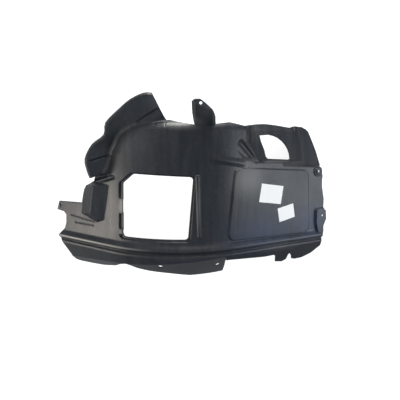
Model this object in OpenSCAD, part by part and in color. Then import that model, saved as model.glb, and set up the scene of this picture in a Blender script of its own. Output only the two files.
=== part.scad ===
// Front wheel arch liner: one moulded skin over the tyre, with two paper labels.
//
// The skin is modelled as the mould would be: form(depth) is the solid block that
// the skin is drawn over, pulled in by depth all over, and the skin is
// form(0) minus form(wall). Plan places are measured from the wheel axis (x) and
// from the middle of the tyre (y, positive to the engine side). The wheel axis
// lies along Y; at the end the whole part is leaned as it stands on a floor.

/* [Skin] */
// Thickness of the moulded skin
wall = 3; // [2:0.1:4]
// Thickness of the paper labels
label_t = 0.3; // [0.2:0.05:0.6]

/* [Reach of the part from the wheel axis and the tyre's middle] */
// Reach to the front, to the tip of the tab
front_reach = 421; // [415:1:427]
// Reach to the rear, to the tip of the ear
rear_reach = 493; // [488:1:499]
// Reach to the lip side, to the edge of the flange
lip_reach = 292; // [289:1:296]
// Reach to the engine side, to the rim of the wing
wing_reach = 249; // [243:1:255]

/* [Arch sweep] */
// Radius of the arch over the tyre, to the outer face
arch_r = 400; // [385:1:415]
// Angle at which the front run leaves the arc
front_angle = 31; // [28:0.5:33]
// Angle at which the rear run leaves the arc
rear_angle = 23.5; // [22:0.5:26]

/* [Cross-section] */
// Where the roll to the engine side begins
roll_y = 150; // [146:1:154]
// Radius of that roll
roll_r = 26; // [20:1:30]
// How far round the roll turns
roll_turn = 68; // [55:1:75]
// Straight skirt below the roll
roll_skirt = 16; // [10:1:20]
// Crest of the inner bead of the lip
bead_y = -197; // [-200:1:-194]
// Height of the inner bead
bead_h = 9; // [5:0.5:12]
// Crest of the outer bead of the lip
brow_y = -216; // [-219:1:-213]
// Height of the outer bead
brow_h = 5; // [3:0.5:8]
// Slope of the apron below the outer bead
apron_slope = 18; // [14:1:22]
// Where the flange folds down, at the pivot of its skew
flange_y = -227; // [-230:1:-225]
// Slope of the flange
flange_slope = 43; // [38:1:50]
// Skew of the flange's fold to the arch
flange_skew = 3.65; // [3:0.05:4.2]

/* [Access opening] */
// Middle of the opening along the arch
window_x = -67; // [-70:1:-64]
// Middle of the opening across the arch
window_y = -71.5; // [-74:0.5:-69]
// Length of the opening along the arch
window_l = 196; // [184:1:202]
// Width of the opening across the arch
window_w = 185; // [174:1:189]
// Corner radius of the opening
window_r = 9; // [6:1:14]
// Depth of the ledge round the opening
ledge_h = 5; // [3:0.5:8]
// Width of the ledge on the front side
ledge_front = 13; // [10:1:18]
// Width of the ledge on the other sides
ledge_w = 7; // [4:1:10]
// Length of the long clip seat across the ledge
seat_l = 46; // [30:1:52]
// Length of the short clip seat
seat_short_l = 18; // [12:1:24]

/* [Rib beside the opening] */
// Place of the rib along the arch
rib_x = 53; // [50:1:58]
// Radius of the rib
rib_r = 6; // [4:0.5:8]
// How far the rib stands out of the skin
rib_h = 4; // [2:0.5:5]

/* [Raised plate] */
// Height of the plate on the rear run
plate_h = 5; // [3:0.5:8]
// Corner radius of the plate
plate_r = 22; // [14:1:28]
// Side of the plate along the run, on the lip side
plate_l = 308; // [290:1:316]
// Side of the plate across the run
plate_w = 223; // [212:1:226]

/* [Boss and ear] */
// Height of the round boss at the end of the rear run
boss_h = 6; // [4:0.5:9]
// Height of the ear at the rear end
ear_h = 8; // [5:0.5:12]

/* [Light well] */
// Depth of the well's floor below the crown of the arch, at the corner by its step
well_h = 212; // [205:1:216]
// Draft of the well's wall on the lip side
well_draft = 4; // [2:0.5:6]
// Height of the step in the well's floor
step_h = 4; // [2:0.5:6]
// Depth of the scoop beside the well
scoop_h = 13; // [8:1:16]
// Slope of the scoop's walls
scoop_wall = 40; // [35:1:50]

/* [Box on the front run] */
// Slope of the top of the box
box_slope = 8; // [2:1:14]
// Slope of the side walls of the box
box_wall = 50; // [45:1:60]
// Slope of its end wall towards the wing
box_end_wall = 68; // [60:1:75]
// Radius of the two grooves beside the box
groove_r = 2.5; // [1.5:0.5:4]

/* [Splash wing] */
// Depth of the valley at the foot of the wing
valley_h = 14; // [8:1:18]
// Width of the shoulder between the arch and the valley
shoulder = 28; // [22:1:32]
// Width of the rim that is turned out at the top of the wing
rim_w = 9; // [5:1:12]

/* [Top bracket] */
// Height of the bracket's ledge above the crown of the arch
bracket_h = 32; // [26:1:38]

/* [Fixing holes] */
// Radius of the two holes in the lip flange
flange_hole_r = 6.5; // [4:0.5:8]
// Radius of the other fixing holes
hole_r = 4; // [3:0.5:5]

/* [Labels] */
// Length of the large label
label_large_l = 83; // [60:1:88]
// Width of the large label
label_large_w = 57; // [40:1:70]
// Length of the small label
label_small_l = 62; // [40:1:70]
// Width of the small label
label_small_w = 45; // [30:1:55]

/* [Hidden] */
$fn = 96;

far = 900;
mass_d = 220;
run_l = 400;
// The arc goes on past the angle where a run leaves it, and the run lies lower by a
// hair, so that the two blocks cross at a clean edge
past = 2;
run_drop = 0.05;
skin_colour = [0.16, 0.17, 0.18];
paper_colour = [0.95, 0.95, 0.94];
// Width of the outer bead's turn to the apron
brow_w = 8;
// The flange's fold is skewed about this plan place, and the flange ends at flange_end
flange_pivot = [58, flange_y];
flange_end = 139;
// A place on the well's floor and the floor's upward normal
well_at = [378, 167, arch_r - well_h];
well_normal = [0.338, 0.243, 0.978];

// Trimmed edge of the skin in plan, clockwise from the foot of the wing. The points of
// an end are measured from its tip, those of the flange from its edge.
function moved(points, x, y = 0) = [for (p = points) p + [x, y]];
front_edge = concat(
    [[-229, 19], [-258, 16], [-264, 6], [-266, -2], [-286, -14], [-297, -19], [-305, -32], [-310, -48],
     [-316, -76]],
    moved([[11, -80], [0, -110], [29, -114], [38, -124], [37, -150], [30, -170], [4, -196], [10, -206],
           [48, -261], [59, -285]], -front_reach),
    moved([[-343, 3], [-292, 5], [-249, 9], [-205, 22], [-183, 37], [-166, 43], [-152, 39], [-129, 28],
           [-92, 20], [-32, 12], [30, 0], [122, 3], [133, 4], [135.8, 29]], 0, -lip_reach),
    [[136.2, -237], [142, -232.5]]);
rear_edge = concat(
    [[182, -236], [265, -243], [297, -242], [304, -246], [306, -268], [331, -273], [347, -267],
     [353, -249], [359, -246], [365, -257], [368, -268], [382, -272], [409, -271]],
    moved([[-49, -259], [-15, -234], [-9, -182], [-10, -164], [0, -141], [-3, -111], [-10, -107],
           [-10, -74], [-20, -29], [-21, -6], [-19, 4], [-26, 31], [-27, 34.5], [-9, 37], [-24, 88],
           [-35, 116], [-45, 140]], rear_reach));
well_edge = [[442, 154], [432, 162], [417, 169], [386, 171], [370, 166], [314, 174], [278, 177],
             [246, 175], [217, 170], [189, 163], [143, 173], [102, 167]];
bracket_edge = [[99, 187], [93, 197], [68, 220], [55, 229], [42, 229], [33, 224], [35, 197],
                [41, 164]];

// Stations of the wing: plan place of its valley, then place of its rim and the rim's
// height over the crown of the arch
wing = [[[-44, 176], [-75, wing_reach, 5]],
        [[-78, 172], [-98, wing_reach, 4]],
        [[-119, 165], [-135, wing_reach - 15, -4]],
        [[-152, 151], [-173, wing_reach - 43, -15]],
        [[-177, 132], [-212, wing_reach - 78, -28]],
        [[-192, 104], [-221, wing_reach - 112, -38]],
        [[-202, 86], [-258, wing_reach - 139, -48]],
        [[-209, 62], [-284, 67, -58]],
        [[-220, 33], [-282, 31, -66]],
        [[-231, 16], [-275, 6, -71]]];
wing_steps = 3;

// Height of the arch's outer face at a plan place, straight runs included
function arch_z(x) = x < -arch_r * sin(front_angle)
    ? arch_r * cos(front_angle) + (x + arch_r * sin(front_angle)) * tan(front_angle)
    : x > arch_r * sin(rear_angle)
    ? arch_r * cos(rear_angle) - (x - arch_r * sin(rear_angle)) * tan(rear_angle)
    : sqrt(arch_r * arch_r - x * x);

// A raised-cosine swelling at c, going out over a on one side and b on the other
function swell(y, c, a, b) = y > c + a || y < c - b ? 0
    : (1 + cos(180 * (y - c) / (y > c ? a : b))) / 2;
function apron_drop(d) = tan(apron_slope) * (d < brow_w ? d * d / (2 * brow_w) : d - brow_w / 2);
function section_h(y) = bead_h * swell(y, bead_y, 22, 11)
    + (y > brow_y ? brow_h * swell(y, brow_y, 9, 9) : brow_h - apron_drop(brow_y - y));

// Height of the skin's outer face over a plan place: the sweep, the flange and the well's strip
function arch_slope(x) = max(-front_angle, min(rear_angle, asin(max(-1, min(1, x / arch_r)))));
function skin_z(x, y) = arch_z(x) + section_h(y) / cos(arch_slope(x));
function unskewed(x, y) = let (d = [x, y] - flange_pivot, a = flange_skew)
    flange_pivot + [d[0] * cos(a) + d[1] * sin(a), d[1] * cos(a) - d[0] * sin(a)];
function flange_h(y) = section_h(flange_y) + (y - flange_y) * tan(flange_slope);
function flange_z(x, y) = let (q = unskewed(x, y)) arch_z(q[0]) + flange_h(q[1]) / cos(arch_slope(q[0]));
function well_z(x, y) = well_at[2] - (well_normal[0] * (x - well_at[0])
    + well_normal[1] * (y - well_at[1])) / well_normal[2];

// The part stands on the under edge of three corners: one of the flange and two of the
// light well. floor_n is the normal of the floor through them.
function under_flange(x, y) = [x, y, flange_z(x, y) - wall / (cos(front_angle) * cos(flange_slope))];
function under_well(x, y) = [x, y, well_z(x, y) - (step_h + wall) / unit(well_normal)[2]];
foot_front = under_flange(59 - front_reach, -285);
foot_well = [under_well(rear_reach - 35, 116), under_well(rear_reach - 45, 140)];
floor_n = unit(cross(foot_well[0] - foot_front, foot_well[1] - foot_front));
lean = atan(floor_n[1] / floor_n[2]);
rock = atan(floor_n[0] / norm([floor_n[1], floor_n[2]]));

// A place of the arch as it comes to lie when the part stands
function leaned(p) = [p[0], p[1] * cos(lean) - p[2] * sin(lean), p[1] * sin(lean) + p[2] * cos(lean)];
function stood(p) = let (q = leaned(p))
    [q[0] * cos(rock) - q[2] * sin(rock), q[1], q[0] * sin(rock) + q[2] * cos(rock)];
floor_z = stood(foot_front)[2];
function skin_at(x, y) = [x, y, skin_z(x, y)];
middle = [(stood(skin_at(-front_reach, -110))[0] + stood(skin_at(rear_reach, -141))[0]) / 2,
    (stood([30, -lip_reach, flange_z(30, -lip_reach)])[1] + stood([-98, wing_reach, arch_r + 4])[1]) / 2];

// Cross-section from the engine side to the flange, as [y, height over the arch]
roll_pts = [for (a = [90 - roll_turn : roll_turn / 6 : 90])
    [roll_y + roll_r * cos(a), roll_r * (sin(a) - 1)]];
skirt = roll_pts[0] + roll_skirt * [sin(90 - roll_turn), -cos(90 - roll_turn)];
roll_depth = 24;
lip_pts = [for (y = [bead_y + 22 : -3 : brow_y - 12]) [y, section_h(y)]];
section = concat([skirt], roll_pts, lip_pts, [[-330, section_h(-330)]]);

function unit(v) = v / norm(v);
function side(v) = [v[1], -v[0]];
// Normal of an open line at point i, on its outer side
function line_normal(p, i) = let (
    a = unit(side(p[min(i + 1, len(p) - 1)] - p[min(i, len(p) - 2)])),
    b = unit(side(p[max(i, 1)] - p[max(i - 1, 0)])), m = unit(a + b)) m / (m * a);
function pulled_in(p, e) = [for (i = [0 : len(p) - 1]) p[i] + e * line_normal(p, i)];

// A closed outline (anticlockwise) pulled in by e, and its corners rounded to r
function inset(p, e) = let (n = len(p)) [for (i = [0 : n - 1]) let (
    a = unit(side(p[(i + 1) % n] - p[i])), b = unit(side(p[i] - p[(i + n - 1) % n])),
    m = unit(a + b)) p[i] - e * m / (m * a)];
function rounded(p, r, steps = 5) = let (n = len(p)) [for (i = [0 : n - 1]) let (
    u = unit(p[(i + n - 1) % n] - p[i]), v = unit(p[(i + 1) % n] - p[i]),
    half = acos(u * v) / 2, c = p[i] + unit(u + v) * r / sin(half),
    from = atan2(-side(u)[1], -side(u)[0]), turn = 180 - 2 * half)
    for (k = [0 : steps]) let (a = from + turn * (k / steps)) c + r * [cos(a), sin(a)]];
function box_outline(l, w) = [[-l / 2, -w / 2], [l / 2, -w / 2], [l / 2, w / 2], [-l / 2, w / 2]];

// Smooth run through a list of points
function between(p, t) = let (i = min(floor(t), len(p) - 2), f = t - i,
    a = p[max(i - 1, 0)], b = p[i], c = p[i + 1], d = p[min(i + 2, len(p) - 1)])
    b + 0.5 * f * (c - a + f * (2 * a - 5 * b + 4 * c - d + f * (3 * b - a - 3 * c + d)));

// Places on the sweep
module on_arc(angle, y) rotate([0, angle, 0]) translate([0, y, arch_r]) children();
module on_rear() on_arc(rear_angle, 0) children();
module on_front() on_arc(-front_angle, 0) children();
function rear_s(x) = (x - arch_r * sin(rear_angle)) / cos(rear_angle);
function front_s(x) = (x + arch_r * sin(front_angle)) / cos(front_angle);
module plan() translate([0, 0, -far / 2]) linear_extrude(2 * far) children();

// Half space above a plane through p with upward normal n, and the one below it, both
// moved back by e along the normal
module turned_to(p, n, e) translate(p - e * unit(n)) rotate([0, acos(unit(n)[2]), atan2(n[1], n[0])])
    children();
module above(p, n, e = 0) turned_to(p, n, e) translate([-far, -far, 0]) cube(2 * far);
module below(p, n, e = 0) turned_to(p, n, e) translate([-far, -far, -2 * far]) cube(2 * far);

// Solid swept along the arc and both runs from an outline of [y, height over the arch]
module swept(outline, longer = 0) {
    rotate([-90, 0, 0]) rotate([0, 0, -90 - front_angle - past])
        rotate_extrude(angle = front_angle + rear_angle + 2 * past, $fn = 192)
            polygon([for (q = outline) [arch_r + q[1], q[0]]]);
    for (run = [[rear_angle, 0], [-front_angle, 1]])
        rotate([0, run[0], 0]) mirror([run[1], 0, 0]) rotate([90, 0, 90])
            linear_extrude(run_l + longer) polygon([for (q = outline) [q[0], arch_r - run_drop + q[1]]]);
}

// The swept block, pulled in by e
module sweep(e) {
    p = pulled_in(section, -e);
    out = e > 0 ? 6 : 0;
    last = len(p) - 1;
    swept(concat([[p[0][0] + out, -mass_d - out], [p[0][0] + out, p[0][1]]], p,
        [[p[last][0] - out, p[last][1]], [p[last][0] - out, -mass_d - out]]), out);
}

// What lies inside the flange's slope, which is skewed to the arch and ends at flange_end
module in_flange(e) {
    p = pulled_in([for (d = [90, -140]) [flange_y + d, flange_h(flange_y + d)]], -e);
    low = -mass_d - 40;
    translate(flange_pivot) rotate([0, 0, flange_skew]) translate(-flange_pivot)
        swept([[300, low], [300, p[0][1]], p[0], p[1], [p[1][0], low]], 60);
    plan() translate([flange_end + e, -far]) square(2 * far);
}

// Plate, boss and ear on the rear run
plate_outline = [[-20, -174], [plate_l - 18, -180], [plate_l - 33, 26], [1, plate_w - 181]];
rear_end = rear_s(rear_reach);
ear_outline = moved([[-46, -150], [-36, -188], [8, -188], [8, -103], [-46, -103]], rear_end);
module rear_pads(e) on_rear() {
    translate([0, 0, -30]) linear_extrude(30 + plate_h - e)
        polygon(rounded(inset(plate_outline, e), plate_r - e));
    translate([0, 0, -30]) linear_extrude(30 + ear_h - e) polygon(rounded(inset(ear_outline, e), 12 - e));
    translate([boss_at[0], boss_at[1], -30]) {
        cylinder(r = 17 - e, h = 30 + boss_h / 2 - e);
        cylinder(r = 11 - e, h = 30 + boss_h - e);
    }
}

// Rib beside the opening, a round bar sunk in the skin
module rib(e) on_arc(asin(rib_x / arch_r), -68)
    translate([0, 0, rib_h - rib_r]) rotate([90, 0, 2])
        cylinder(r = rib_r - e, h = 180 - 2 * e, center = true);

// A plan place on the arch's outer face, and the way up a wall of the given slope that
// leans away from the left side of a line
function on_skin(p) = [p[0], p[1], arch_z(p[0])];
function wall_up(line, slope) = let (out = unit(side(line)))
    [out[0] * cos(slope), out[1] * cos(slope), sin(slope)];

// Box on the front run. Its top comes out of the arch along a slanting line, and its
// walls slope down to the run on the other three sides.
box_at = [-214, -20, arch_z(-214)];
box_normal = cross([-1, 0, -tan(box_slope)], [-17, -90, arch_z(-231) - arch_z(-214)]);
box_foot = [[-225, -12], [-272, -5], [-306, -30], [-319, -111], [-261, -132], [-236, -122]];
module box(e) intersection() {
    below(box_at, box_normal, e);
    intersection_for (i = [0 : len(box_foot) - 2]) let (p = on_skin(box_foot[i]),
        q = on_skin(box_foot[i + 1]), slope = i < 2 ? box_end_wall : box_wall)
        below(p, cross(q - p, wall_up(p - q, slope)), e);
    plan() translate([-400, -200]) square([250, 260]);
    translate([-far, -far, arch_r - 200]) cube(2 * far);
}

// Two grooves beside the box
module groove(a, b, e) on_front() let (p = [front_s(a[0]), a[1]], d = [front_s(b[0]), b[1]] - p)
    translate([p[0], p[1], groove_r - 1.7]) rotate([0, 0, atan2(d[1], d[0])]) rotate([0, 90, 0])
        translate([0, 0, -e]) cylinder(r = groove_r + e, h = norm(d) + 2 * e);

// Block under the top bracket: a level ledge on a sloping front
bracket_foot = [[46, 106], [101, 106], [101, 262], [8, 262]];
bracket_top = [[43, 215], [87, 198], [104, 250], [26, 250]];
module bracket(e) hull() {
    translate([0, 0, arch_r - 70]) linear_extrude(1) polygon(inset(bracket_foot, e));
    translate([0, 0, arch_r + bracket_h - 1 - e]) linear_extrude(1) polygon(inset(bracket_top, e));
}

// The opening is skewed and has one corner cut off. Round it runs a ledge, with two
// seats left across it on the front side.
window_corners = [[-window_l / 2 - 4, -window_w / 2], [window_l / 2 - 8, -window_w / 2],
                  [window_l / 2 + 7, window_w / 2 - 4], [-window_l / 2 + 32, window_w / 2 + 4],
                  [-window_l / 2 - 1, window_w / 2 - 24]];
ledge_corners = window_corners + [[-ledge_front, -ledge_w], [ledge_w, -ledge_w],
    [ledge_w, ledge_w / 2], [-ledge_w, ledge_w / 2], [-ledge_front, 0]];
module ledge(e) difference() {
    intersection() {
        plan() translate([window_x, window_y]) difference() {
            polygon(rounded(inset(ledge_corners, -e), window_r + ledge_w / 2 + e));
            for (seat = [[0, seat_l], [-78, seat_short_l]])
                translate([-window_l / 2 - ledge_front - 20, seat[0] - seat[1] / 2 + e])
                    square([ledge_front + 40, seat[1] - 2 * e]);
        }
        plan() translate([-250, -260]) square([400, 420]);
    }
    rotate([90, 0, 0]) cylinder(r = arch_r - ledge_h - e, h = far, center = true, $fn = 192);
}

// The light well: a sunk panel between drafted walls. Its edge on the engine side is
// turned down, and a slanting step leads to its rear strip, which reaches further to
// the lip side.
function in_well(p) = [p[0], p[1], well_z(p[0], p[1])];
module well_wall(a, b, e) let (p = in_well(a), q = in_well(b))
    above(p, cross([0, -sin(well_draft), cos(well_draft)], q - p), e);
module well(e) intersection() {
    above([193, 130, arch_z(193)], [0.948, 0, 0.319], e);
    above([193, 113, arch_z(193)], [0.827, 0.48, 0.294], e);
    union() {
        intersection() {
            union() {
                above(well_at, well_normal, e);
                intersection() {
                    above(in_well([300, 153]), well_normal + [0, 0.38, 0], e);
                    plan() square([388 + e, far]);
                }
            }
            well_wall([263, 59], [423, 56], e);
        }
        intersection() {
            above(well_at - [0, 0, step_h], well_normal, e);
            above(in_well([409, 105]), [0.936, 0.353, 1], e);
            well_wall([440, 39], [484, 36], e);
        }
    }
}

// Scoop in the arch in front of the well: a floor that falls towards the well, and a
// wall on each of its two other sides
scoop_edge = [[162, 97], [184, 64], [228, 58]];
scoop_floor = [[189, 112, arch_z(189)], [228, 58, arch_z(228) - scoop_h]];
module scoop(e) intersection() {
    let (a = on_skin(scoop_edge[0])) above(a, cross(scoop_floor[1] - a, scoop_floor[0] - a), e);
    intersection_for (i = [0, 1]) let (p = on_skin(scoop_edge[i]), q = on_skin(scoop_edge[i + 1]))
        above(p, cross(wall_up(q - p, scoop_wall), q - p), e);
    plan() translate([140, 40]) square([110, 90]);
}

module form(e) {
    difference() {
        union() {
            intersection() {
                sweep(e);
                in_flange(e);
            }
            rear_pads(e);
            rib(e);
            box(e);
            bracket(e);
        }
        ledge(e);
        well(e);
        scoop(e);
        groove([-363, -122], [-270, -133], e);
        groove([-347, -145], [-272, -145], e);
    }
}

// The wing, a lofted sheet: its foot is tucked into the arch's skin, and it goes over
// a shoulder, through the valley and up to a turned-out rim. Each row of the foot is
// [distance from the valley, drop along the valley, drop where the roll ends], as
// shares of the shoulder and of the valley's depth.
foot_rows = [[-0.98, 0, 0], [-0.72, -0.10, -0.05], [-0.46, -0.36, -0.20], [-0.24, -0.70, -0.46],
             [-0.08, -0.93, -0.90], [0.06, -1, -1], [0.22, -0.94, -0.96], [0.42, -0.75, -0.80]];
wing_valley = [for (s = wing) s[0]];
wing_rim = [for (s = wing) s[1]];
function off_valley(t) = unit(unit(side(between(wing_valley, min(t + 0.1, len(wing) - 1))
    - between(wing_valley, max(t - 0.1, 0)))) + 2 * t / (len(wing) - 1) * unit(to_rim(t)));
function to_rim(t) = let (v = between(wing_valley, t), w = between(wing_rim, t)) [w[0] - v[0], w[1] - v[1]];
function wing_depth(t) = valley_h * min(1, 0.15 + 0.4 * (len(wing) - 1 - t))
    + (roll_depth - valley_h) * max(0, 1 - t);
function wing_station(t) = let (v = between(wing_valley, t), n = off_valley(t),
    w = between(wing_rim, t) + [0, 0, arch_r], depth = wing_depth(t), at_roll = max(0, 1 - t),
    q = v + 0.42 * shoulder * n,
    qz = arch_z(q[0]) - (0.75 + 0.05 * at_roll) * depth, u = unit([w[0], w[1]] - q),
    top = [w[0], w[1]] - rim_w * u)
    concat(
        [let (p = v - 1.25 * shoulder * n) [p[0], p[1], arch_z(p[0]) - 0.5 * wall]],
        [for (r = foot_rows) let (p = v + r[0] * shoulder * n)
            [p[0], p[1], arch_z(p[0]) + (r[1] + (r[2] - r[1]) * at_roll) * depth - 0.1 * wall]],
        [for (f = [0.3, 0.65, 0.92]) let (p = q + f * (top - q)) [p[0], p[1], qz + f * (w[2] - qz)]],
        [[top[0] + 0.15 * rim_w * u[0], top[1] + 0.15 * rim_w * u[1], w[2]],
         [top[0] + 0.5 * rim_w * u[0], top[1] + 0.5 * rim_w * u[1], w[2] - 0.2 * rim_w],
         [w[0], w[1], w[2] - 0.8 * rim_w]]);
wing_n = wing_steps * (len(wing) - 1);
// The end by the roll is tucked under the skin too, and widens there in a curve
wing_end = wing_station(0);
tuck_x = [9, 9, 9, 9, 9, 9, 9, 3.5, 1];
wing_tuck = [for (j = [0 : len(wing_end) - 1]) let (x = j < len(tuck_x) ? tuck_x[j] : 0.6)
    wing_end[j] + [x, 0, 0] - (j < 7 ? 0.5 : 0.05) * wall * [0, 1, 1]];
wing_rows = concat([for (i = [wing_n : -1 : 0]) wing_station(i / wing_steps)], [wing_tuck]);

// Closed sheet of the given thickness under a grid of points
module sheet(g, t) {
    ni = len(g) - 1;
    nj = len(g[0]) - 1;
    m = (ni + 1) * (nj + 1);
    normals = [for (i = [0 : ni]) for (j = [0 : nj]) unit(cross(
        g[min(i + 1, ni)][j] - g[max(i - 1, 0)][j], g[i][min(j + 1, nj)] - g[i][max(j - 1, 0)]))];
    top = [for (r = g) for (p = r) p];
    function id(i, j) = i * (nj + 1) + j;
    quads = [for (i = [0 : ni - 1]) for (j = [0 : nj - 1])
        [id(i, j), id(i, j + 1), id(i + 1, j + 1), id(i + 1, j)]];
    rim = concat(
        [for (j = [0 : nj - 1]) [id(0, j), id(0, j + 1)]],
        [for (i = [0 : ni - 1]) [id(i, nj), id(i + 1, nj)]],
        [for (j = [nj : -1 : 1]) [id(ni, j), id(ni, j - 1)]],
        [for (i = [ni : -1 : 1]) [id(i, 0), id(i - 1, 0)]]);
    polyhedron(concat(top, [for (k = [0 : m - 1]) top[k] - t * normals[k]]),
        concat([for (q = quads) for (f = [[q[0], q[1], q[2]], [q[0], q[2], q[3]]]) f],
            [for (q = quads) for (f = [[q[2], q[1], q[0]], [q[3], q[2], q[0]]]) f + m * [1, 1, 1]],
            [for (r = rim) for (f = [[r[0], r[0] + m, r[1] + m], [r[0], r[1] + m, r[1]]]) f]));
}

// Plan outline of the skin: trimmed edges, with the wing's foot line on the engine side
wing_cut = [for (i = [0 : wing_n])
    between(wing_valley, i / wing_steps) - shoulder * off_valley(i / wing_steps)];
crown_edge = [[15, 168], [-10, 173], [-25, 177.5], [-35, 178.5]];
skin_outline = concat(crown_edge, wing_cut, front_edge, rear_edge, well_edge, bracket_edge);

// The quarter-round light window in the well
module light_window() plan() polygon(concat(
    [for (a = [84 : -12 : 0]) [280 + 84 * cos(a), 62 + 79 * sin(a)]],
    [[359, 59], [284, 63], [277, 70], [273, 90], [262, 118], [257, 138]]));

// Places of the fixing holes: those of the flange in its own skewed frame, those of the
// boss and the ear along the rear run
flange_holes = [[-60, -240], [118, -255]];
boss_at = [rear_end - 44, 22];
ear_hole = [rear_end - 21, -128];
bracket_hole = [57, 218];
tab_hole = [15 - front_reach, -95];
module fixing_holes() {
    translate(flange_pivot) rotate([0, 0, flange_skew]) translate(-flange_pivot)
        for (p = flange_holes) on_arc(asin(p[0] / arch_r), p[1]) translate([0, 0, flange_h(p[1])])
            rotate([flange_slope, 0, 0]) cylinder(r = flange_hole_r, h = 30, center = true);
    on_rear() for (p = [boss_at, ear_hole])
        translate([p[0], p[1], 0]) cylinder(r = hole_r, h = 40, center = true);
    translate([bracket_hole[0], bracket_hole[1], arch_r + bracket_h])
        cylinder(r = hole_r, h = 30, center = true);
    on_front() translate([front_s(tab_hole[0]), tab_hole[1], 0]) linear_extrude(30, center = true) {
        square([hole_r, 6], center = true);
        for (y = [-3, 3]) translate([0, y]) circle(hole_r / 2);
    }
}

module liner() color(skin_colour) {
    difference() {
        intersection() {
            difference() {
                form(0);
                form(wall);
            }
            plan() polygon(skin_outline);
        }
        plan() translate([window_x, window_y]) polygon(rounded(window_corners, window_r));
        light_window();
        fixing_holes();
    }
    sheet(wing_rows, wall);
}

module label(x, y, l, w, turn) color(paper_colour) on_rear()
    translate([rear_s(x), y, plate_h]) rotate(turn) linear_extrude(label_t) square([l, w], center = true);

// The part stands on the floor on its three corners
module standing() translate(-[middle[0], middle[1], floor_z]) rotate([0, -rock, 0]) rotate([lean, 0, 0])
    children();

module label_large() label(278.5, -42, label_large_l, label_large_w, -8.5);
module label_small() label(334, -106, label_small_l, label_small_w, 11);

standing() liner();
standing() label_large();
standing() label_small();
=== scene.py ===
"""Wheel arch liner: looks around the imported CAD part. Metres, in the frame of the CAD model."""

import math

import bpy
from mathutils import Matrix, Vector

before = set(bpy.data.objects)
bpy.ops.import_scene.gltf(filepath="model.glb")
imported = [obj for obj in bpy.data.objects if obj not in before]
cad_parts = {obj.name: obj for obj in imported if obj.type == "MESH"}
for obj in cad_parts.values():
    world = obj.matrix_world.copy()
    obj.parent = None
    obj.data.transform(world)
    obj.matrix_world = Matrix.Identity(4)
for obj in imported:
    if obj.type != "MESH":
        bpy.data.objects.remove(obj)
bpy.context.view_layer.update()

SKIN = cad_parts["liner"]
LABELS = [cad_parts["label_large"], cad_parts["label_small"]]

# The camera looks almost straight down on the part, from about 0.85 m above its crown
CAMERA_AT = (-0.0184, 0.0333, 1.1292)
CAMERA_TURN = (-0.925, -1.011, 0.0)
CAMERA_LENS = 29.18
CAMERA_SHIFT = (0.020, -0.041)

# Lamps: name, place, size, brightness as a surface, colour. All face AIM.
LAMPS = [("engine_side", (0.15, 2.30, 1.00), (1.50, 1.30), 15.0, (1.00, 0.99, 0.97)),
         ("left_low", (-2.50, -0.72, 0.78), (0.95, 0.90), 9.9, (1.00, 0.93, 0.84)),
         ("right", (2.35, -0.20, 1.05), (1.00, 1.20), 5.2, (0.88, 0.94, 1.00)),
         ("left_high", (-1.60, 0.00, 1.95), (1.20, 1.00), 0.7, (1.00, 0.98, 0.95)),
         ("lip_side_high", (-0.10, -1.60, 1.75), (1.50, 0.90), 0.8, (0.84, 0.92, 1.00))]
AIM = (0, 0, 0.15)

# Light of the sky on the part: its strength from the horizon up, its colour from the lip
# side to the engine side, each between two values of the direction
SKY_HEIGHTS = (0.10, 0.50)
SKY_STRENGTHS = (0.20, 0.45)
SKY_SIDES = (-0.8, 0.2)
SKY_COLOURS = ((0.66, 0.80, 1.0, 1), (0.92, 0.96, 1.0, 1))

# The floor: its side, its drop below the part, its colour and the glow that makes it white
FLOOR_SIDE = 40
FLOOR_DROP = 0.0005
FLOOR_COLOUR = (0.36, 0.36, 0.36, 1)
FLOOR_GLOW = 0.86
# Shares of the white floor and of the white background that reflections in the part show
FLOOR_MIRRORED = 0.2
SKY_MIRRORED = 0.1

WHITE = (1, 1, 1, 1)
# The skin: its plastic in dark and light streaks, a painted bluish sky reflection, dust mixed
# with painted highlights, and painted glints on the bead crests
DARK_STREAK = (0.0070, 0.0088, 0.0130, 1)
LIGHT_STREAK = (0.0150, 0.0172, 0.0218, 1)
PAINTED_SKY_BLUE = (0.036, 0.050, 0.095, 1)
DUST_AND_HIGHLIGHT_TONE = (0.150, 0.146, 0.138, 1)
CREST_GLINT_COLOUR = (0.42, 0.40, 0.36, 1)
CLEAN_PAPER = (0.95, 0.935, 0.91, 1)
SMUDGED_PAPER = (0.88, 0.865, 0.84, 1)

# Waves per metre of the flow streaks and of the fine scores, which run across the arch
STREAKS = (55.0, 5.0, 20.0)
SCORES = (420.0, 22.0, 160.0)
# Radius by which edges look rounded
EDGE_R = 0.005

# Patches of painted highlight mixed with dust, where the skin is lit brighter: middle, reach each
# way, share.
# From the top: the plate's corner, the roll by the crown, the long clip seat, the front
# run, the wing's upper end, the wing, the bracket, the lip at the rear, the rib, the well
DUST_AND_HIGHLIGHT_PATCHES = [((0.165, 0.030, 0.177), (0.075, 0.080, 0.070), 0.75),
         ((-0.030, 0.186, 0.235), (0.085, 0.026, 0.040), 0.85),
         ((-0.209, -0.047, 0.172), (0.014, 0.036, 0.050), 1.50),
         ((-0.235, -0.040, 0.155), (0.030, 0.120, 0.080), 0.25),
         ((-0.075, 0.255, 0.240), (0.080, 0.060, 0.060), 0.40),
         ((-0.220, 0.160, 0.190), (0.160, 0.130, 0.120), 0.24),
         ((0.035, 0.215, 0.262), (0.050, 0.040, 0.040), 0.22),
         ((0.270, -0.185, 0.100), (0.180, 0.022, 0.070), 0.28),
         ((0.0155, -0.052, 0.212), (0.0085, 0.105, 0.050), 0.40),
         ((0.215, 0.182, 0.080), (0.060, 0.050, 0.070), 0.14)]
# Where a bluish reflection of the sky on the lip side is painted into the skin: the rear run by
# the lip and at its end
SKY_REFLECTION_PATCHES = [((0.230, -0.130, 0.130), (0.230, 0.100, 0.140), 0.65),
         ((0.400, -0.110, 0.060), (0.110, 0.100, 0.100), 0.80)]
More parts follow.
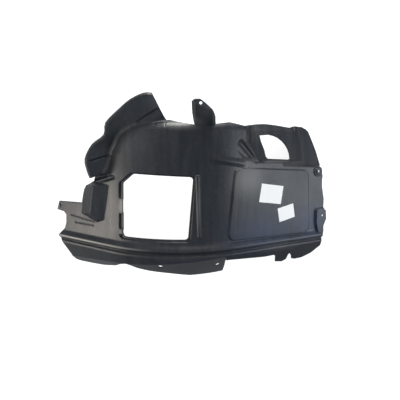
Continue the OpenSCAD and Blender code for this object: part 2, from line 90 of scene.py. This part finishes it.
# Lines of low relief: ends in plan, half width, height. Two folds of the wing, a ridge and
# a recess at its lower end, the soft ridge beside the plate and the scoop's deep line
FOLDS = [((-0.0890, 0.2285), (-0.1640, 0.1880), 0.0050, -0.0030),
         ((-0.3100, 0.0815), (-0.2400, 0.1045), 0.0050, -0.0030),
         ((-0.3300, 0.0260), (-0.2350, 0.0500), 0.0050, 0.0035),
         ((-0.3250, 0.0150), (-0.2250, 0.0400), 0.0100, -0.0050),
         ((0.0450, 0.0900), (0.1650, 0.0750), 0.0150, 0.0035),
         ((0.1300, 0.1450), (0.2000, 0.0800), 0.0130, -0.0060)]

# The part stands leaned across the arch by this angle, about a line along the car: its place
# across and its height, which is that of the wheel's axis and lies below the floor
LEAN = math.radians(6.07477)
LEAN_Y, LEAN_Z = 0.0609021, -0.178902
# Painted highlights on the crests of the lip's two beads: place across the unleaned arch, half
# width, share of the pale tone on the front run. The share falls over the run on the next line to
# the value on the line after.
CREST_HIGHLIGHTS = [(-0.1965, 0.0060, 1.00), (-0.2155, 0.0035, 0.30)]
CREST_HIGHLIGHT_RUN = (-0.35, -0.10)
CREST_HIGHLIGHT_LAST = 0.03
# The inner crest also gets a painted pale glint: half width, the run over which the share falls
# to none, and the share at the front
GLINT_HALF = 0.0042
GLINT_RUN = (-0.36, -0.12)
GLINT_SHARE = 0.9


class Nodes:
    """Short calls for building a tree of shader nodes."""

    def __init__(self, tree):
        self.tree = tree

    def add(self, kind, inputs=(), **settings):
        node = self.tree.nodes.new(kind)
        for key, value in settings.items():
            setattr(node, key, value)
        for key, value in dict(inputs).items():
            self.put(node.inputs[key], value)
        return node

    def put(self, socket, value):
        if isinstance(value, bpy.types.NodeSocket):
            self.tree.links.new(value, socket)
        else:
            socket.default_value = value

    def math(self, operation, a, b=0.0, clamp=False):
        node = self.add("ShaderNodeMath", {0: a, 1: b}, operation=operation, use_clamp=clamp)
        return node.outputs[0]

    def plus(self, a, b):
        return self.math("ADD", a, b)

    def times(self, a, b):
        return self.math("MULTIPLY", a, b)

    def away(self, a, b):
        return self.math("ABSOLUTE", self.math("SUBTRACT", a, b))

    def vector(self, operation, a, b, output="Vector"):
        node = self.add("ShaderNodeVectorMath", {0: a, 1: b}, operation=operation)
        return node.outputs[output]

    def length(self, vector):
        node = self.add("ShaderNodeVectorMath", {0: vector}, operation="LENGTH")
        return node.outputs["Value"]

    def noise(self, vector, scale, detail=3.0, roughness=0.5):
        node = self.add("ShaderNodeTexNoise", {"Vector": vector, "Scale": scale,
                                               "Detail": detail, "Roughness": roughness})
        return node.outputs["Fac"]

    def stretched(self, vector, scale):
        return self.add("ShaderNodeMapping", {"Vector": vector, "Scale": scale}).outputs[0]

    def spread(self, value, low, high, to_low=0.0, to_high=1.0, curve="LINEAR"):
        node = self.add("ShaderNodeMapRange", {"Value": value, "From Min": low, "From Max": high,
                                               "To Min": to_low, "To Max": to_high},
                        interpolation_type=curve)
        return node.outputs[0]

    def soft(self, value, low, high):
        return self.spread(value, low, high, curve="SMOOTHSTEP")

    def mix(self, factor, a, b):
        node = self.add("ShaderNodeMix", {"Factor": factor}, data_type="RGBA")
        self.put(node.inputs[6], a)
        self.put(node.inputs[7], b)
        return node.outputs[2]

    def bump(self, height, strength, distance, normal=None):
        node = self.add("ShaderNodeBump", {"Height": height, "Strength": strength,
                                           "Distance": distance})
        if normal:
            self.put(node.inputs["Normal"], normal)
        return node.outputs[0]


def new_material(name):
    """A node material, the short calls for its tree and its shader's inputs."""
    material = bpy.data.materials.new(name)
    material.use_nodes = True
    n = Nodes(material.node_tree)
    return material, n, n.tree.nodes["Principled BSDF"].inputs


def patch(n, place, at, reach):
    """A soft round mask, 1 at a place of the part and 0 beyond its reach."""
    offset = n.vector("SUBTRACT", place, at)
    return n.soft(n.length(n.vector("MULTIPLY", offset, [1 / r for r in reach])), 1.0, 0.0)


def fold(n, place, start, end, half, height):
    """Height of a pressed line between two plan places, fading out at its ends."""
    start, end = Vector((*start, 0)), Vector((*end, 0))
    length = (end - start).length
    along = (end - start) / length
    beside = Vector((-along.y, along.x, 0))
    offset = n.vector("SUBTRACT", place, start)
    run = n.vector("DOT_PRODUCT", offset, along, "Value")
    side = n.vector("DOT_PRODUCT", offset, beside, "Value")
    ends = n.soft(n.away(run, length / 2), length / 2, length / 3)
    flank = n.soft(n.away(side, 0.0), half, 0.0)
    return n.times(n.times(ends, flank), height)


def skin_colour(n, place, streaks, cloud, speck, rounded):
    """Streaked black plastic under a painted bluish sky reflection, dust mixed with painted
    highlights, edges paled by rubbing and by painted highlight, and painted glints on the bead
    crests.
    """
    base = n.mix(n.spread(streaks, 0.35, 0.65), DARK_STREAK, LIGHT_STREAK)
    # Painted reflection: a bluish tint of the sky on the lip side, laid into the base colour
    sky_reflection = 0.0
    for at, reach, amount in SKY_REFLECTION_PATCHES:
        sky_reflection = n.plus(sky_reflection, n.times(patch(n, place, at, reach), amount))
    base = n.mix(n.times(sky_reflection, n.spread(streaks, 0.25, 0.75, 0.6, 1.0)), base, PAINTED_SKY_BLUE)

    dust_and_highlight = n.times(n.spread(speck, 0.50, 0.80), n.spread(cloud, 0.35, 0.65, 0.03, 0.16))
    # Painted highlights: patches where the skin is lit brighter, in the same pale tone as the
    # dust
    for at, reach, amount in DUST_AND_HIGHLIGHT_PATCHES:
        streaked = n.spread(streaks, 0.25, 0.75, 0.6 * amount, amount)
        dust_and_highlight = n.plus(dust_and_highlight, n.times(patch(n, place, at, reach), streaked))
    part = n.add("ShaderNodeSeparateXYZ", {0: place}).outputs
    across = n.plus(n.times(n.plus(part["Y"], -LEAN_Y), math.cos(LEAN)),
                    n.times(n.plus(part["Z"], -LEAN_Z), math.sin(LEAN)))
    # Painted highlight along the bead crests, where they catch the lamps, strongest at the front
    for at, half, amount in CREST_HIGHLIGHTS:
        crest_highlight = n.times(n.spread(n.away(across, at), half, 0.0),
                         n.spread(cloud, 0.35, 0.65, 0.3, 1.0))
        dust_and_highlight = n.plus(dust_and_highlight, n.times(crest_highlight, n.spread(part["X"], *CREST_HIGHLIGHT_RUN, amount, CREST_HIGHLIGHT_LAST)))

    # Edges paled partly by rubbing and partly as painted highlight along rounded edges, convex
    # and concave alike
    flat = n.add("ShaderNodeNewGeometry").outputs["True Normal"]
    agree = n.vector("DOT_PRODUCT", rounded, flat, "Value")
    edge_wear_and_highlight = n.times(n.spread(agree, 0.90, 0.72), n.spread(speck, 0.35, 0.70, 0.0, 0.04))
    # The pale tone carries thin dust and painted highlights on lit patches, bead crests and edges
    colour = n.mix(n.math("ADD", dust_and_highlight, edge_wear_and_highlight, clamp=True), base, DUST_AND_HIGHLIGHT_TONE)
    # Painted highlight: a pale glint along the inner bead's crest, fading towards the rear
    glint = n.times(n.spread(n.away(across, CREST_HIGHLIGHTS[0][0]), GLINT_HALF, 0.0),
                   n.spread(part["X"], *GLINT_RUN, GLINT_SHARE, 0.0))
    return n.mix(glint, colour, CREST_GLINT_COLOUR)


def plastic():
    """Moulded black plastic: fine grain, flow streaks, rounded folds, thin dust, and painted
    highlights on lit patches, edges and bead crests.
    """
    material, n, shader = new_material("moulded_plastic")
    place = n.add("ShaderNodeTexCoord").outputs["Object"]
    streaks = n.noise(n.stretched(place, STREAKS), 1.0, 5.0, 0.6)
    scores = n.noise(n.stretched(place, SCORES), 1.0)
    cloud = n.noise(place, 7.0, 5.0, 0.55)
    speck = n.noise(place, 90.0, 6.0, 0.7)
    rounded = n.add("ShaderNodeBevel", {"Radius": EDGE_R}, samples=6).outputs[0]
    n.put(shader["Base Color"], skin_colour(n, place, streaks, cloud, speck, rounded))
    uneven = n.plus(n.spread(scores, 0.3, 0.7, 0.0, 0.04), n.spread(streaks, 0.3, 0.7, 0.0, 0.08))
    n.put(shader["Roughness"], n.plus(n.spread(cloud, 0.3, 0.7, 0.26, 0.34), uneven))
    n.put(shader["Specular IOR Level"], 0.42)
    normal = n.bump(n.noise(place, 1400.0, 2.0), 0.10, 0.0003, rounded)
    normal = n.bump(scores, 0.20, 0.0005, normal)
    normal = n.bump(streaks, 0.25, 0.002, normal)
    normal = n.bump(n.noise(place, 24.0), 0.12, 0.002, normal)
    pressed = 0.0
    for line in FOLDS:
        pressed = n.plus(pressed, fold(n, place, *line))
    n.put(shader["Normal"], n.bump(pressed, 1.0, 1.0, normal))
    return material


def paper():
    """White label paper, faintly smudged and creased."""
    material, n, shader = new_material("label_paper")
    place = n.add("ShaderNodeTexCoord").outputs["Object"]
    smudge = n.spread(n.noise(place, 60.0, 4.0), 0.45, 0.75)
    n.put(shader["Base Color"], n.mix(n.times(smudge, 0.35), CLEAN_PAPER, SMUDGED_PAPER))
    n.put(shader["Roughness"], 0.55)
    normal = n.bump(n.noise(place, 45.0, 2.0), 0.2, 0.001)
    normal = n.bump(n.noise(place, 900.0, 4.0, 0.7), 0.15, 0.0001, normal)
    n.put(shader["Normal"], normal)
    return material


def dress(node, material):
    node.data.materials.clear()
    node.data.materials.append(material)


def mirrored(n, path, share):
    """A share for reflections and for light that passes through, 0 for other rays."""
    return n.times(n.math("MAXIMUM", path["Is Glossy Ray"], path["Is Transmission Ray"]), share)


def floor():
    """A plain pale floor that looks white in the open and keeps the part's soft shadow."""
    bpy.ops.mesh.primitive_plane_add(size=FLOOR_SIDE, location=(0, 0, -FLOOR_DROP))
    ground = bpy.context.object
    ground.name = "floor"
    material, n, shader = new_material("pale_floor")
    path = n.add("ShaderNodeLightPath").outputs
    seen = n.math("MAXIMUM", path["Is Camera Ray"], mirrored(n, path, FLOOR_MIRRORED))
    n.put(shader["Base Color"], FLOOR_COLOUR)
    n.put(shader["Roughness"], 0.9)
    n.put(shader["Specular IOR Level"], 0.0)
    n.put(shader["Emission Color"], WHITE)
    n.put(shader["Emission Strength"], n.times(seen, FLOOR_GLOW))
    ground.data.materials.append(material)


def lamp(name, at, size, radiance, colour):
    """A soft panel of light that faces the part; radiance is its brightness as a surface."""
    data = bpy.data.lights.new(name, "AREA")
    data.shape = "RECTANGLE"
    data.size, data.size_y = size
    data.energy = radiance * math.pi * size[0] * size[1]
    data.color = colour
    o = bpy.data.objects.new(name, data)
    bpy.context.scene.collection.objects.link(o)
    o.location = at
    o.rotation_mode = "QUATERNION"
    o.rotation_quaternion = (Vector(at) - Vector(AIM)).to_track_quat("Z", "Y")
    o.visible_camera = False


def sky():
    """Soft light from all round, which the camera sees as plain white."""
    world = bpy.data.worlds.new("studio")
    bpy.context.scene.world = world
    world.use_nodes = True
    n = Nodes(world.node_tree)
    way = n.add("ShaderNodeTexCoord").outputs["Generated"]
    way = n.add("ShaderNodeSeparateXYZ", {0: way}).outputs
    path = n.add("ShaderNodeLightPath").outputs
    seen = n.math("MAXIMUM", path["Is Camera Ray"], mirrored(n, path, SKY_MIRRORED))
    strength = n.spread(way["Z"], *SKY_HEIGHTS, *SKY_STRENGTHS)
    tint = n.mix(n.spread(way["Y"], *SKY_SIDES), *SKY_COLOURS)
    light = n.add("ShaderNodeBackground", {"Color": tint, "Strength": strength}).outputs[0]
    white = n.add("ShaderNodeBackground", {"Color": WHITE, "Strength": 1.0}).outputs[0]
    both = n.add("ShaderNodeMixShader", {0: seen, 1: light, 2: white}).outputs[0]
    n.put(n.tree.nodes["World Output"].inputs["Surface"], both)


def camera():
    data = bpy.data.cameras.new("camera")
    data.lens = CAMERA_LENS
    data.shift_x, data.shift_y = CAMERA_SHIFT
    o = bpy.data.objects.new("camera", data)
    o.location = CAMERA_AT
    o.rotation_euler = [math.radians(a) for a in CAMERA_TURN]
    bpy.context.scene.collection.objects.link(o)
    bpy.context.scene.camera = o


dress(SKIN, plastic())
sheet_paper = paper()
for label in LABELS:
    dress(label, sheet_paper)

floor()
for values in LAMPS:
    lamp(*values)
sky()
camera()
bpy.context.scene.view_settings.view_transform = "Standard"
